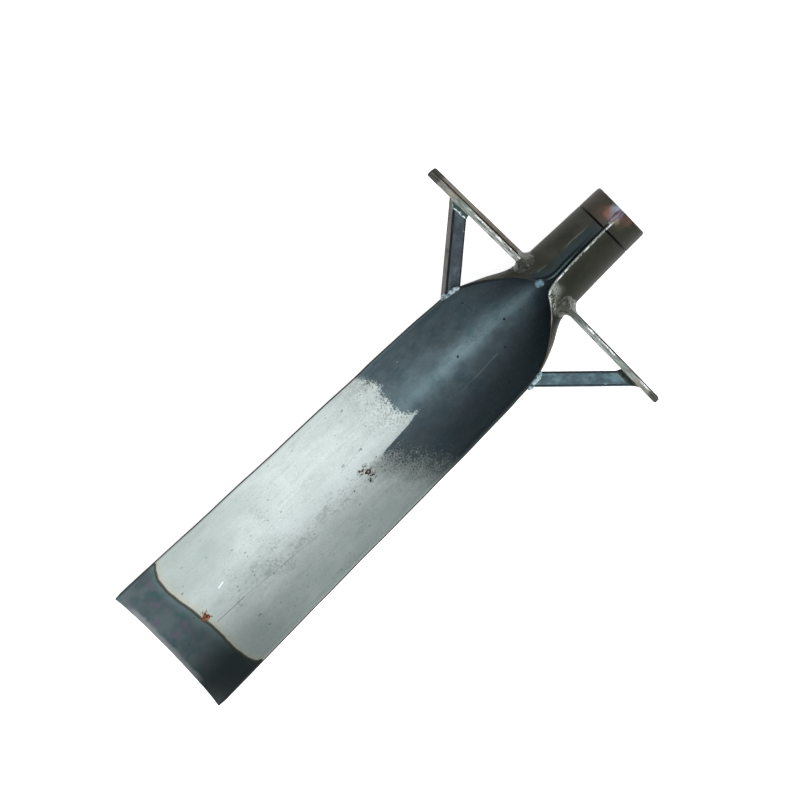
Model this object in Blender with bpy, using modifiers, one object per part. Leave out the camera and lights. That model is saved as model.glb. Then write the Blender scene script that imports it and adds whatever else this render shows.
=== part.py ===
"""Head of a long hand digging spade: one steel sheet rolled from a hollow blade into a split socket,
with two welded foot steps, each held by a brace to the rim of the blade, and the beads that join them.

Frame: +X from the cutting tip to the socket's mouth, +Z out of the hollow, origin under the middle.
Left is +Y, the left side for a person who faces the hollow with the socket uppermost.
"""

import math

import bmesh
import bpy
import numpy as np
from mathutils import Matrix, Vector

MM = 0.001

# Sheet
LENGTH = 500 * MM
SHEET = 2.5 * MM
TIP_EDGE = 1.0 * MM
TIP_TAPER = 12 * MM
# Distance from the tip, radius of the sheet's middle surface, and half of the angle that it wraps.
ROLL = (
    (0, 62.2 * MM, 69.3),
    (120 * MM, 56.2 * MM, 76.0),
    (349 * MM, 48.1 * MM, 88.8),
    (360 * MM, 46.4 * MM, 93.0),
    (370 * MM, 43.3 * MM, 99.5),
    (386 * MM, 36.6 * MM, 115.5),
    (401 * MM, 28.8 * MM, 133.5),
    (406 * MM, 27.1 * MM, 147.0),
    (412 * MM, 26.4 * MM, 165.0),
    (420 * MM, 26.2 * MM, 171.0),
    (434 * MM, 25.7 * MM, 173.6),
    (465 * MM, 24.8 * MM, 175.6),
    (500 * MM, 24.2 * MM, 176.3),
)
STRIPS = 25  # an odd number, so that one flat strip runs under the middle
ENVELOPE_STRIPS = 72
BLADE_STEPS, NECK_STEPS, SOCKET_STEPS = 8, 20, 5
NECK_START, NECK_END = 345 * MM, 430 * MM

# Foot steps: flat bars across the foot of the socket
STEP_AT = 415 * MM
STEP_REACH = 127 * MM
STEP_THICK = 5 * MM
STEP_WIDE = 30 * MM
STEP_TOP = 45 * MM
STEP_INNER = 10 * MM  # how far in a bar runs before its end is cut to the socket
STEP_LEAN = {"left": 10.0, "right": 3.5}  # degrees that the top leans to the tip
STEP_SWING = {"left": 1.6, "right": 0.0}  # degrees that the outer end is turned to the tip

# Braces: square bars from the rim of the blade to the steps
BRACE_SIDE = 12 * MM
BRACE_AT_RIM = (357 * MM, 47.5 * MM, 44.0 * MM)
BRACE_AT_STEP = {
    "left": (412 * MM, 94.5 * MM, 33.5 * MM),
    "right": (412 * MM, 100.0 * MM, 33.5 * MM),
}
BRACE_OVERRUN = 12 * MM
BRACE_ROLL = {"left": 18.0, "right": 3.0}  # degrees about the bar's own length

# Weld beads
STEP_BEAD = 1.8 * MM
BRACE_BEAD = 2.2 * MM
# The face of a step that a bead lies on, and its ends in degrees above the socket's widest line.
STEP_BEADS = {"upper": (1, -8, 24), "lower": (-1, -22, 12)}
BRACE_STEP_BEAD = 0.84  # length of the bead across a brace's top, in widths of the bar
BRACE_BLADE_BEAD = (-11 * MM, 6 * MM)  # from the point where the brace meets the rim
SEAM_BEAD_LENGTH = 16 * MM
SEAM_BEAD_DEPTH = 3.4 * MM
BEAD_POINTS = 9
BEAD_TAPER = 0.8  # share of a bead's section that is gone at its ends

EDGE_ROUND = 0.5 * MM
GAP = 0.3 * MM
MERGE = 0.01 * MM
SIDES = {"left": 1, "right": -1}

ROLL_AT, ROLL_RADIUS, ROLL_ANGLE = (np.array(column, float) for column in zip(*ROLL))


def clear_scene():
    for obj in list(bpy.data.objects):
        bpy.data.objects.remove(obj)


def make_collection(name):
    collection = bpy.data.collections.new(name)
    bpy.context.scene.collection.children.link(collection)
    return collection


def make_material(name, colour, roughness, metallic):
    material = bpy.data.materials.new(name)
    material.use_nodes = True
    shader = material.node_tree.nodes["Principled BSDF"]
    shader.inputs["Base Color"].default_value = (*colour, 1)
    shader.inputs["Roughness"].default_value = roughness
    shader.inputs["Metallic"].default_value = metallic
    return material


def smooth_curve(values, at):
    """Reads a smooth curve through the roll's stations, which never overshoots them."""
    gaps = np.diff(ROLL_AT)
    rises = np.diff(values) / gaps
    slopes = np.concatenate(([rises[0]], np.zeros(len(rises) - 1), [rises[-1]]))
    same_way = rises[:-1] * rises[1:] > 0
    before, after = rises[:-1][same_way], rises[1:][same_way]
    slopes[1:-1][same_way] = 2 * before * after / (before + after)
    i = int(np.clip(np.searchsorted(ROLL_AT, at) - 1, 0, len(gaps) - 1))
    u = (at - ROLL_AT[i]) / gaps[i]
    level = values[i] * (1 + 2 * u) * (1 - u) ** 2 + values[i + 1] * (3 - 2 * u) * u ** 2
    bend = slopes[i] * u * (1 - u) ** 2 - slopes[i + 1] * u ** 2 * (1 - u)
    return level + bend * gaps[i]


def roll_at(x):
    """Radius of the middle surface, half angle and height of the roll's centre, x from the tip."""
    radius = smooth_curve(ROLL_RADIUS, x)
    angle = math.radians(smooth_curve(ROLL_ANGLE, x))
    return radius, angle, SHEET / 2 + radius * math.cos(angle / STRIPS)


def roll_point(x, angle, out=0):
    """A point at an angle from the spine, out of the middle surface by the given distance."""
    radius, _, centre = roll_at(x)
    reach = radius + out
    return Vector((x - LENGTH / 2, reach * math.sin(angle), centre - reach * math.cos(angle)))


def stations():
    blade = np.linspace(0, NECK_START, BLADE_STEPS)
    neck = np.linspace(NECK_START, NECK_END, NECK_STEPS)
    socket = np.linspace(NECK_END, LENGTH, SOCKET_STEPS)
    return np.concatenate(([0, TIP_TAPER], blade[1:], neck[1:], socket[1:]))


def mesh_object(name, mesh_data, collection, material=None):
    """Turns a bmesh into an object of the collection, and frees it."""
    mesh = bpy.data.meshes.new(name)
    mesh_data.to_mesh(mesh)
    mesh_data.free()
    obj = bpy.data.objects.new(name, mesh)
    collection.objects.link(obj)
    if material:
        mesh.materials.append(material)
    return obj


def make_cutter(obj):
    obj.hide_render = True
    obj.display_type = "WIRE"
    return obj


def rolled_grid(places, columns, half_angle, out=0):
    """A grid rolled round the spine; half_angle is read from a place along the tip's distance."""
    grid = bmesh.new()
    bmesh.ops.create_grid(grid, x_segments=len(places) - 1, y_segments=columns, size=1)
    for vert in grid.verts:
        x = places[round((vert.co.x + 1) / 2 * (len(places) - 1))]
        vert.co = roll_point(x, vert.co.y * half_angle(x), out)
    return grid


def make_sheet(parts, material):
    """The blade, neck and socket: one sheet, thinned towards the cutting tip."""
    grid = rolled_grid(stations(), STRIPS, lambda x: roll_at(x)[1])
    obj = mesh_object("blade_and_socket", grid, parts, material)
    full = obj.vertex_groups.new(name="full_thickness")
    taper_end = TIP_TAPER - LENGTH / 2 - EDGE_ROUND
    full.add([v.index for v in obj.data.vertices if v.co.x > taper_end], 1, "REPLACE")
    solid = obj.modifiers.new("Sheet thickness", "SOLIDIFY")
    solid.thickness = SHEET
    solid.offset = 0
    solid.use_even_offset = True
    solid.vertex_group = full.name
    solid.thickness_vertex_group = TIP_EDGE / SHEET
    obj.data.shade_smooth()
    return obj


def make_envelope(cutters):
    """A solid that fills the rolled sheet and stands a gap outside it, to cope the bars' ends."""
    inside = [x for x in stations() if x > NECK_START / 2]
    shell = rolled_grid(inside, ENVELOPE_STRIPS, lambda x: math.pi, SHEET / 2 + GAP)
    bmesh.ops.remove_doubles(shell, verts=shell.verts, dist=MERGE)
    bmesh.ops.holes_fill(shell, edges=shell.edges)
    bmesh.ops.recalc_face_normals(shell, faces=shell.faces)
    return make_cutter(mesh_object("roll_envelope", shell, cutters))


def make_bar(name, size, collection, material=None):
    """A bar with rounded edges, centred on its own origin."""
    box = bmesh.new()
    bmesh.ops.create_cube(box, size=1, matrix=Matrix.Diagonal((*size, 1)))
    obj = mesh_object(name, box, collection, material)
    if material:
        rounding = obj.modifiers.new("Rounded edges", "BEVEL")
        rounding.width = EDGE_ROUND
        rounding.segments = 1
    return obj


def add_cut(obj, cutter):
    cut = obj.modifiers.new("Cut by " + cutter.name, "BOOLEAN")
    cut.operation = "DIFFERENCE"
    cut.object = cutter


def step_matrix(side):
    """Places a step's bar by its middle, with its lean and its swing."""
    sign = SIDES[side]
    middle = (STEP_AT - LENGTH / 2, sign * (STEP_REACH + STEP_INNER) / 2, STEP_TOP - STEP_WIDE / 2)
    swing = Matrix.Rotation(sign * math.radians(STEP_SWING[side]), 4, "Z")
    lean = Matrix.Rotation(-math.radians(STEP_LEAN[side]), 4, "Y")
    return Matrix.Translation(middle) @ swing @ lean


def step_face_x(side, y, z, outward):
    """The x of a step's face over a point: outward is 1 on the tread and -1 on the tip side."""
    place = step_matrix(side)
    on_face = place @ Vector((outward * STEP_THICK / 2, 0, 0))
    normal = place.to_3x3() @ Vector((1, 0, 0))
    return on_face.x - (normal.y * (y - on_face.y) + normal.z * (z - on_face.z)) / normal.x


def make_step(side, parts, material, envelope):
    """A flat bar whose inner end is cut to the socket's curve."""
    size = (STEP_THICK, STEP_REACH - STEP_INNER, STEP_WIDE)
    obj = make_bar(side + "_foot_step", size, parts, material)
    obj.matrix_world = step_matrix(side)
    add_cut(obj, envelope)
    return obj


def brace_axes(side):
    """Ends of a brace's centre line, and the directions along it, across it and out of its top."""
    sign = SIDES[side]
    rim, step = (
        Vector((x - LENGTH / 2, sign * y, z)) for x, y, z in (BRACE_AT_RIM, BRACE_AT_STEP[side])
    )
    along = (step - rim).normalized()
    flat_across = Vector((0, 0, 1)).cross(along).normalized()
    turn = Matrix.Rotation(sign * math.radians(BRACE_ROLL[side]), 3, along)
    across = turn @ flat_across
    return rim, step, along, across, along.cross(across)


def make_brace(side, parts, cutters, material, envelope):
    """A square bar, cut to the outside of the rim at one end and to the step at the other."""
    rim, step, along, across, top = brace_axes(side)
    length = (step - rim).length + 2 * BRACE_OVERRUN
    obj = make_bar(side + "_brace", (length, BRACE_SIDE, BRACE_SIDE), parts, material)
    turn = Matrix((along, across, top)).transposed().to_4x4()
    obj.matrix_world = Matrix.Translation((rim + step) / 2) @ turn
    add_cut(obj, envelope)
    clear = make_bar(side + "_step_clearance", (STEP_WIDE, 2 * STEP_REACH, 2 * STEP_WIDE), cutters)
    push = Matrix.Translation(((STEP_WIDE - STEP_THICK) / 2 - GAP, 0, 0))
    make_cutter(clear).matrix_world = step_matrix(side) @ push
    add_cut(obj, clear)
    return obj


def make_bead(name, points, thickness, parts, material):
    """A weld bead: a tube through the points that thins to its ends."""
    curve = bpy.data.curves.new(name, "CURVE")
    curve.dimensions = "3D"
    curve.bevel_depth = thickness
    curve.bevel_resolution = 2
    curve.use_fill_caps = True
    spline = curve.splines.new("POLY")
    spline.points.add(len(points) - 1)
    for i, point in enumerate(points):
        from_middle = abs(2 * i / (len(points) - 1) - 1)
        spline.points[i].co = (*point, 1)
        spline.points[i].radius = math.sqrt(1 - BEAD_TAPER * from_middle ** 4)
    obj = bpy.data.objects.new(name, curve)
    curve.materials.append(material)
    parts.objects.link(obj)
    return obj


def step_bead_path(side, outward, low, high):
    """Follows the corner between the socket's wall and one face of a step."""
    sign = SIDES[side]
    stand_off = STEP_BEAD + 2 * GAP
    points = []
    for rise in np.radians(np.linspace(low, high, BEAD_POINTS)):
        radius, _, centre = roll_at(STEP_AT)
        reach = radius + SHEET / 2 + stand_off
        on_face = step_face_x(
            side, sign * reach * math.cos(rise), centre + reach * math.sin(rise), outward
        )
        x = on_face + LENGTH / 2 + outward * stand_off
        widest = max(roll_at(x + shift)[0] for shift in (-STEP_BEAD, 0, STEP_BEAD))
        out = widest - roll_at(x)[0] + SHEET / 2 + stand_off
        points.append(roll_point(x, sign * (rise + math.pi / 2), out))
    return points


def brace_step_bead_path(side):
    """Crosses the top of a brace where it meets the step."""
    _, step, along, across, top = brace_axes(side)
    lift = top * (BRACE_SIDE / 2 + BRACE_BEAD + GAP)
    points = []
    half = BRACE_SIDE * BRACE_STEP_BEAD / 2
    for shift in np.linspace(-half, half, BEAD_POINTS):
        start = step + across * shift + lift
        stop = step_face_x(side, start.y, start.z, -1) - BRACE_BEAD - 2 * GAP
        points.append(start + along * (stop - start.x) / along.x)
    return points


def brace_blade_bead_path(side):
    """Lies along the edge of the rim, at the foot of a brace."""
    rise = SHEET / 2 + BRACE_BEAD
    points = []
    for shift in np.linspace(*BRACE_BLADE_BEAD, BEAD_POINTS):
        x = BRACE_AT_RIM[0] + shift
        angle = roll_at(x)[1] + (BRACE_BEAD + 2 * GAP) / roll_at(x)[0]
        points.append(roll_point(x, SIDES[side] * angle, SHEET / 2 - rise))
    return points


def make_seam_bead(parts, material):
    """The filler that closes the mouth end of the seam."""
    radius, angle, centre = roll_at(LENGTH - SEAM_BEAD_LENGTH)
    width = 2 * (radius - SHEET / 2) * math.sin(roll_at(LENGTH)[1]) - 2 * GAP
    obj = make_bar(
        "socket_seam_weld", (SEAM_BEAD_LENGTH, width, SEAM_BEAD_DEPTH), parts, material
    )
    x = LENGTH / 2 - SEAM_BEAD_LENGTH / 2 - GAP
    obj.location = (x, 0, centre + radius + (SEAM_BEAD_DEPTH - SHEET) / 4)
    return obj


def build():
    clear_scene()
    parts = make_collection("digging_spade_head")
    cutters = make_collection("cutters")
    sheet_steel = make_material("hot_rolled_sheet", (0.20, 0.22, 0.23), 0.45, 0.9)
    step_steel = make_material("worn_flat_bar", (0.28, 0.28, 0.26), 0.5, 0.9)
    brace_steel = make_material("dark_square_bar", (0.10, 0.12, 0.14), 0.5, 0.9)
    bead_steel = make_material("weld_metal", (0.16, 0.20, 0.21), 0.35, 0.9)

    make_sheet(parts, sheet_steel)
    envelope = make_envelope(cutters)
    make_seam_bead(parts, bead_steel)
    for side in SIDES:
        make_step(side, parts, step_steel, envelope)
        make_brace(side, parts, cutters, brace_steel, envelope)
        for place, ends in STEP_BEADS.items():
            path = step_bead_path(side, *ends)
            make_bead(f"{side}_step_{place}_weld", path, STEP_BEAD, parts, bead_steel)
        make_bead(
            f"{side}_brace_step_weld", brace_step_bead_path(side), BRACE_BEAD, parts, bead_steel
        )
        make_bead(
            f"{side}_brace_blade_weld", brace_blade_bead_path(side), BRACE_BEAD, parts, bead_steel
        )


build()
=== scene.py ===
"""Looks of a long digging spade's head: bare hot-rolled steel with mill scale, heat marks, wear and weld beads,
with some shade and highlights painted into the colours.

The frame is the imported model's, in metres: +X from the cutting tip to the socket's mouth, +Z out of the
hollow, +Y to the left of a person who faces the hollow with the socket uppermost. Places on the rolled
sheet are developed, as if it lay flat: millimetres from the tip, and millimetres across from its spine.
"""

import math
from types import SimpleNamespace

import bmesh
import bpy
import numpy as np
from mathutils import Matrix, Vector, noise


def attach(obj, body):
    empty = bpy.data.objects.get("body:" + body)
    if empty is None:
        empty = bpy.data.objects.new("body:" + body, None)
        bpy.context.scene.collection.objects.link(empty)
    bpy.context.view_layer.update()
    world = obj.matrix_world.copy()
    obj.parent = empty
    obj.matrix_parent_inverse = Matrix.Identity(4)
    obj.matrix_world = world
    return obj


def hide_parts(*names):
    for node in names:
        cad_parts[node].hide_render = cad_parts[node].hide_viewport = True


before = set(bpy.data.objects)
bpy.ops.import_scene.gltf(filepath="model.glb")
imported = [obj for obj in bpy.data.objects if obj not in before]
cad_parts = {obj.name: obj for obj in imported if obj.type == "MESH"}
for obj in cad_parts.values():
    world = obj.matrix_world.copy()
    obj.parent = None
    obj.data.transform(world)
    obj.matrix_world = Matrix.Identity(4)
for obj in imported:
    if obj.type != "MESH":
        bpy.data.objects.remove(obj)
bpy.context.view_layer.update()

MM = 0.001
link = bpy.context.scene.collection.objects.link

# The sheet's roll, as the frame has it: from the tip, radius of the middle surface, half angle in degrees
LENGTH = 500.0
SHEET = 2.5
ROLL = (
    (0, 62.2, 69.3), (120, 56.2, 76.0), (349, 48.1, 88.8), (360, 46.4, 93.0), (370, 43.3, 99.5),
    (386, 36.6, 115.5), (401, 28.8, 133.5), (406, 27.1, 147.0), (412, 26.4, 165.0), (420, 26.2, 171.0),
    (434, 25.7, 173.6), (465, 24.8, 175.6), (500, 24.2, 176.3),
)
ROLL_AT, ROLL_RADIUS, ROLL_ANGLE = (np.array(column, float) for column in zip(*ROLL))
SPINE_STRIP = 25  # the frame's flat strips, the middle one of which lies on the ground

# The sheet's details, in millimetres. The rims turn dark at the neck, and the lips meet at the throat.
NECK, THROAT, MOUTH_WELD = 352, 408, 484
TIP_EDGE, TIP_BEVEL = 0.9, 9.0
LEFT_LIP_IN, RIGHT_LIP_OUT = 2.3, 0.45
SLOT, WELDED_SLOT = 2.6, 0.1
SCRIBED_AT, LINE_SLANT, LINE_DEPTH = 478.7, 0.013, 0.5

# Points across each face of the sheet, and four round each edge: how far past the face, and how far through
COLUMNS = 101
EDGE_PAST = np.array((0.62, 0.94, 0.94, 0.62))
EDGE_THROUGH = np.array((-0.62, -0.25, 0.25, 0.62))

# Bars: places from the tip, from the middle and up from the ground, in millimetres, and angles in degrees
STEP_AT, STEP_REACH, STEP_INNER = 415.0, 127.0, 10.0
STEP_THICK, STEP_WIDE, STEP_TOP = 5.0, 30.0, 45.0
STEP_LEAN = {"left": 10.0, "right": 3.5}
STEP_SWING = {"left": 1.6, "right": 0.0}
STEP_END_ROUND = 1.6
BRACE_SIDE = 12.0
BRACE_AT_RIM = (357.0, 47.5, 44.0)
BRACE_AT_STEP = {"left": (412.0, 94.5, 33.5), "right": (412.0, 100.0, 33.5)}
BRACE_ROLL = {"left": 18.0, "right": 3.0}
STEP_CORNER, BRACE_CORNER = 0.7, 0.9
SIDES = {"left": 1, "right": -1}
FARTHEST_HIT = 160

# Spacing of the points on a bar, and of the rings of the two kinds of weld, in millimetres
BAR_GRID, COLLAR_GRID, BEAD_GRID = 1.6, 0.45, 0.4
TOE_SINK = 0.12  # how far a collar's edges lie under the steel

# Where the bare steel ends, across from the spine against the distance from the tip
HEAT_LINE = (
    (-78, 52), (-70, 45.5), (-57, 42), (-40, 39), (-22, 38.6), (-9, 38), (0, 36),
    (9, 35.5), (23, 33), (39, 32), (54, 34), (66, 38), (78, 43),
)
SCALE_LINE = (
    (-72, 260), (-57, 258), (-34, 248), (-21, 239), (-6.3, 231), (-4.9, 251.5), (-3.3, 274.5),
    (3, 266), (8, 262), (21, 261), (37, 264), (60, 260), (77, 256),
)

# How far each seed, each pattern of a material and each face of the sheet is from the next in the noise
SEED_SHIFT = (17.3, 5.1, 11.7)
PATTERN_SHIFT = (13.7, 7.9, 3.3)
FACE_SHIFT = 400


# ---- shapes


def smooth_curve(values, at):
    """Reads a smooth curve through the roll's stations, which never overshoots them."""
    at = np.clip(at, 0, LENGTH)
    gaps = np.diff(ROLL_AT)
    rises = np.diff(values) / gaps
    slopes = np.concatenate(([rises[0]], np.zeros(len(rises) - 1), [rises[-1]]))
    same_way = rises[:-1] * rises[1:] > 0
    before, after = rises[:-1][same_way], rises[1:][same_way]
    slopes[1:-1][same_way] = 2 * before * after / (before + after)
    i = np.clip(np.searchsorted(ROLL_AT, at) - 1, 0, len(gaps) - 1)
    u = (at - ROLL_AT[i]) / gaps[i]
    level = values[i] * (1 + 2 * u) * (1 - u) ** 2 + values[i + 1] * (3 - 2 * u) * u ** 2
    return level + gaps[i] * (slopes[i] * u * (1 - u) ** 2 - slopes[i + 1] * u ** 2 * (1 - u))


def roll_at(along):
    """Radius of the middle surface, half angle, and height of the roll's centre."""
    radius = smooth_curve(ROLL_RADIUS, along)
    half = np.radians(smooth_curve(ROLL_ANGLE, along))
    return radius, half, SHEET / 2 + radius * np.cos(half / SPINE_STRIP)


def roll_point(along, angle, out):
    """World place, in millimetres, at an angle from the spine and a distance out of the middle surface."""
    radius, _, centre = roll_at(along)
    reach = radius + out
    return np.stack(
        (along - LENGTH / 2, reach * np.sin(angle), centre - reach * np.cos(angle)), axis=-1
    )


def fade(value, start, stop):
    """Rises smoothly from 0 at start to 1 at stop."""
    t = np.clip((np.asarray(value, float) - start) / (stop - start), 0, 1)
    return t * t * (3 - 2 * t)


def wobble(places, size, seed):
    """Smooth noise from -1 to 1 over places in millimetres, with features of about the given size."""
    shift = Vector([seed * step for step in SEED_SHIFT])
    flat = np.asarray(places, float).reshape(-1, 3) / size
    found = [noise.noise(Vector(place) + shift) for place in flat]
    return np.array(found).reshape(np.shape(places)[:-1])


def make_piece(name, points, faces, material, replaced, attributes, smooth_angle=40):
    """Makes a closed mesh from points in millimetres, and puts it in the frame."""
    mesh = bpy.data.meshes.new(name)
    mesh.from_pydata((np.asarray(points, float) * MM).tolist(), [], faces)
    for key, values in attributes.items():
        values = np.asarray(values, np.float32)
        kind, field = ("FLOAT_VECTOR", "vector") if values.ndim == 2 else ("FLOAT", "value")
        mesh.attributes.new(key, kind, "POINT").data.foreach_set(field, values.ravel())
    solid = bmesh.new()
    solid.from_mesh(mesh)
    bmesh.ops.recalc_face_normals(solid, faces=solid.faces)
    solid.to_mesh(mesh)
    solid.free()
    mesh.materials.append(material)
    mesh.shade_smooth()
    mesh.set_sharp_from_angle(angle=math.radians(smooth_angle))
    piece = bpy.data.objects.new(name, mesh)
    link(piece)
    if replaced:
        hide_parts(*replaced)
    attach(piece, "root")


def tube_faces(grid):
    """Quads between rings of a closed section."""
    here, there = grid[:-1], grid[1:]
    quads = np.stack((here, np.roll(here, -1, 1), np.roll(there, -1, 1), there), axis=-1)
    return quads.reshape(-1, 4).tolist()


def make_loft(name, rings, material, replaced, attributes, smooth_angle):
    """Makes a piece from rings of a closed section, with a cap at each end."""
    grid = np.arange(rings.shape[0] * rings.shape[1]).reshape(rings.shape[:2])
    faces = tube_faces(grid) + [grid[0].tolist(), grid[-1][::-1].tolist()]
    make_piece(name, rings.reshape(-1, 3), faces, material, replaced, attributes, smooth_angle)


def make_weld(name, rings, material, nodes, attributes=None):
    rings = np.array(rings)
    attributes = {"place": rings.reshape(-1, 3), **(attributes or {})}
    make_loft(name, rings, material, nodes, attributes, smooth_angle=75)


# ---- the rolled sheet


def sheet_stations():
    """Distances from the tip, closest where the shape turns fastest."""
    return np.concatenate((
        [0, 0.35, 1.0, 2.0],
        np.arange(3.5, 15, 1.5),
        np.arange(15.5, 335, 3.2),
        np.arange(336, 440, 1.5),
        np.arange(441, 476, 2.2),
        [476.5, 477.5, 477.9, 478.3, 478.7, 479.1, 479.5, 479.9, 480.9],
        np.arange(483, 494, 2.2),
        [494.5, 496, 497.2, 498.2, 499.0, 499.6, LENGTH],
    ))


def sheet_thickness(along, across):
    """Full thickness, thinned to the ground tip, whose bevel wavers, and rounded at the mouth."""
    bevel = TIP_BEVEL * (0.85 + 0.25 * np.sin(across / 17.0 + 0.6))
    thick = TIP_EDGE + (SHEET - TIP_EDGE) * np.clip(along / bevel, 0, 1) ** 0.8
    mouth = np.clip(LENGTH - along, 0, 1)
    return thick * (0.55 + 0.45 * np.sqrt(1 - (1 - mouth) ** 2))


def sheet_bend(along, across, half_arc):
    """Distance out of the true roll: the left lip turned in, the right one proud, and uneven rolling."""
    to_left = half_arc - across
    to_right = half_arc + across
    lip = fade(along, 404, 424) * (1 - 0.75 * fade(along, 440, MOUTH_WELD))
    turned_in = -LEFT_LIP_IN * lip * np.clip(1 - to_left / 8.0, 0, 1) ** 2
    proud = RIGHT_LIP_OUT * lip * np.clip(1 - to_right / 5.0, 0, 1) ** 2
    mouth = -0.8 * np.clip((along - 497.6) / 2.4, 0, 1) ** 2
    rim = np.minimum(to_left, to_right)
    places = np.stack((along, across, np.zeros_like(along)), axis=-1)
    uneven = 0.22 * wobble(places, 42.0, 1) + 0.07 * wobble(places, 13.0, 2)
    waved = 0.35 * wobble(places * (1, 0, 0), 30.0, 3) * np.clip(1 - rim / 12.0, 0, 1)
    return turned_in + proud + mouth + uneven + waved * fade(along, 20, 60)


def close_seam(along, across, half_arc, radius):
    """How far the left lip reaches past the roll, to leave a narrow slot that the mouth's weld closes."""
    gap = 2 * (math.pi * radius - half_arc)
    slot = SLOT - (SLOT - WELDED_SLOT) * fade(along, MOUTH_WELD - 2, MOUTH_WELD + 2)
    near_lip = np.clip(1 - (half_arc - across) / 24.0, 0, 1) * (across > 0)
    return np.maximum(gap - slot, 0) * fade(along, 410, 428) * near_lip ** 1.5


def sheet_faces(grid):
    """Quads round and along the skin, and the tip's and the mouth's edges, closed from face to face."""
    faces = tube_faces(grid)
    edge = len(EDGE_PAST)
    for row, flip in ((grid[0], 1), (grid[-1], -1)):
        inner, left, outer, right = np.split(row, np.cumsum((COLUMNS, edge, COLUMNS)))
        outer = outer[::-1]
        for j in range(COLUMNS - 1):
            faces.append([int(v) for v in (inner[j], inner[j + 1], outer[j + 1], outer[j])][::flip])
        faces.append([int(v) for v in (inner[-1], *left, outer[-1])][::flip])
        faces.append([int(v) for v in (outer[0], *right, inner[0])][::flip])
    return faces


def make_sheet(material):
    """One sheet, as a closed skin: inner face, rounded left edge, outer face, rounded right edge."""
    turn = 0.86 * math.pi / 2
    spread = np.sin(np.linspace(-turn, turn, COLUMNS)) / math.sin(turn)
    columns = np.concatenate((spread, [1] * 4, spread[::-1], [-1] * 4))
    skin = np.concatenate(([-1] * COLUMNS, EDGE_THROUGH, [1] * COLUMNS, -EDGE_THROUGH))
    past = np.concatenate(([0] * COLUMNS, EDGE_PAST, [0] * COLUMNS, EDGE_PAST))
    along, column = (g.T for g in np.meshgrid(sheet_stations(), columns))
    skin, past = (np.broadcast_to(values, along.shape) for values in (skin, past))
    radius, half, _ = roll_at(along)
    half_arc = half * radius
    across = column * half * radius
    thick = sheet_thickness(along, across)
    nicked = np.stack((along, column * 40, column), axis=-1)
    nick = 0.16 * wobble(nicked, 7.0, 4) + 0.10 * wobble(nicked, 2.2, 5)
    trim = np.sign(column) * ((past > 0) * (past * thick * 0.3 + nick))
    out = sheet_bend(along, across, half_arc) + skin * thick / 2
    groove = np.clip(1 - np.abs(along - SCRIBED_AT) / 0.8, 0, 1) * (skin > 0)
    out -= LINE_DEPTH * groove * fade(np.abs(column), 0.3, 0.4)
    edge_distance = half_arc - np.abs(across)
    across = across + close_seam(along, across, half_arc, radius)
    points = roll_point(along, (across + trim) / radius, out)
    below_top = math.pi * radius - np.abs(across)
    from_top = np.sign(column) * below_top
    near_line = fade(along, 468, 476) * (1 - fade(along, 481, 489)) * (1 - fade(np.abs(from_top), 45, 60))
    points[..., 0] -= LINE_SLANT * from_top * near_line
    points[..., 0] += 1.1 * np.minimum(np.cos(across / radius), 0) * fade(along, 470, 500)
    points[..., 0] += 0.25 * wobble(points, 6.0, 6) * (along < 0.5)
    points[..., 1] -= 0.8 * fade(along, 360, 378) * (1 - fade(along, 388, 408))
    points[..., 2] = np.maximum(points[..., 2], 0.0)
    through = (skin + 1) / 2
    heat = along - np.interp(across, *zip(*HEAT_LINE))
    scale = along - np.interp(across, *zip(*SCALE_LINE))
    attributes = {"rim": np.clip(past * 1.6, 0, 1).ravel()}
    for key, parts in (
        ("place", (along, across, through * FACE_SHIFT)),
        ("edges", (edge_distance, from_top, below_top)),
        ("zones", (heat, scale, through)),
    ):
        attributes[key] = np.stack([part.ravel() for part in parts], axis=-1)
    make_piece(
        "rolled_sheet", points.reshape(-1, 3), sheet_faces(np.arange(along.size).reshape(along.shape)),
        material, ["blade_and_socket"], attributes, smooth_angle=60,
    )


# ---- bars


def bar_profile(thick, wide, radius):
    """Round a bar's section from the foot of its +thick face: offset, normal, cornerness; and distance round."""
    a, b = thick / 2 - radius, wide / 2 - radius
    cornerness = (0, 0.5, 1, 0.5, 0)
    corners = []
    for ca, cb, start in ((a, -b, -90), (a, b, 0), (-a, b, 90), (-a, -b, 180)):
        for angle, corner in zip(np.radians(np.linspace(start, start + 90, 5)), cornerness):
            c, s = math.cos(angle), math.sin(angle)
            corners.append((ca + radius * c, cb + radius * s, c, s, corner))
    points = []
    for i, point in enumerate(corners):
        following = corners[(i + 1) % len(corners)]
        on_flat = i % 5 == 4
        steps = max(1, round(math.dist(point[:2], following[:2]) / BAR_GRID)) if on_flat else 1
        for k in range(steps):
            points.append([p + (f - p) * k / steps for p, f in zip(point, following)])
    points = np.array(points)
    around = np.concatenate(([0], np.cumsum(np.linalg.norm(np.diff(points[:, :2], axis=0), axis=1))))
    return points, around


class Bar:
    """A straight bar: its middle, the axes along it and across its section, and its section's outline."""

    def __init__(self, middle, axes, size, corner):
        self.middle = np.array(middle, float)
        self.along, self.a_axis, self.b_axis = (np.array(axis, float) for axis in axes)
        self.profile, self.around = bar_profile(*size, corner)

    def outline(self):
        """The section's points at the bar's middle."""
        return self.middle + (self.profile[:, :1] * self.a_axis + self.profile[:, 1:2] * self.b_axis)

    def section(self, around):
        """Offset and outward normal of the section at a distance round it."""
        total = self.around[-1] + math.dist(self.profile[-1, :2], self.profile[0, :2])
        read = [np.interp(around % total, self.around, self.profile[:, k]) for k in range(4)]
        offset = self.a_axis * read[0] + self.b_axis * read[1]
        normal = self.a_axis * read[2] + self.b_axis * read[3]
        return offset, normal / np.linalg.norm(normal)


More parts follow.
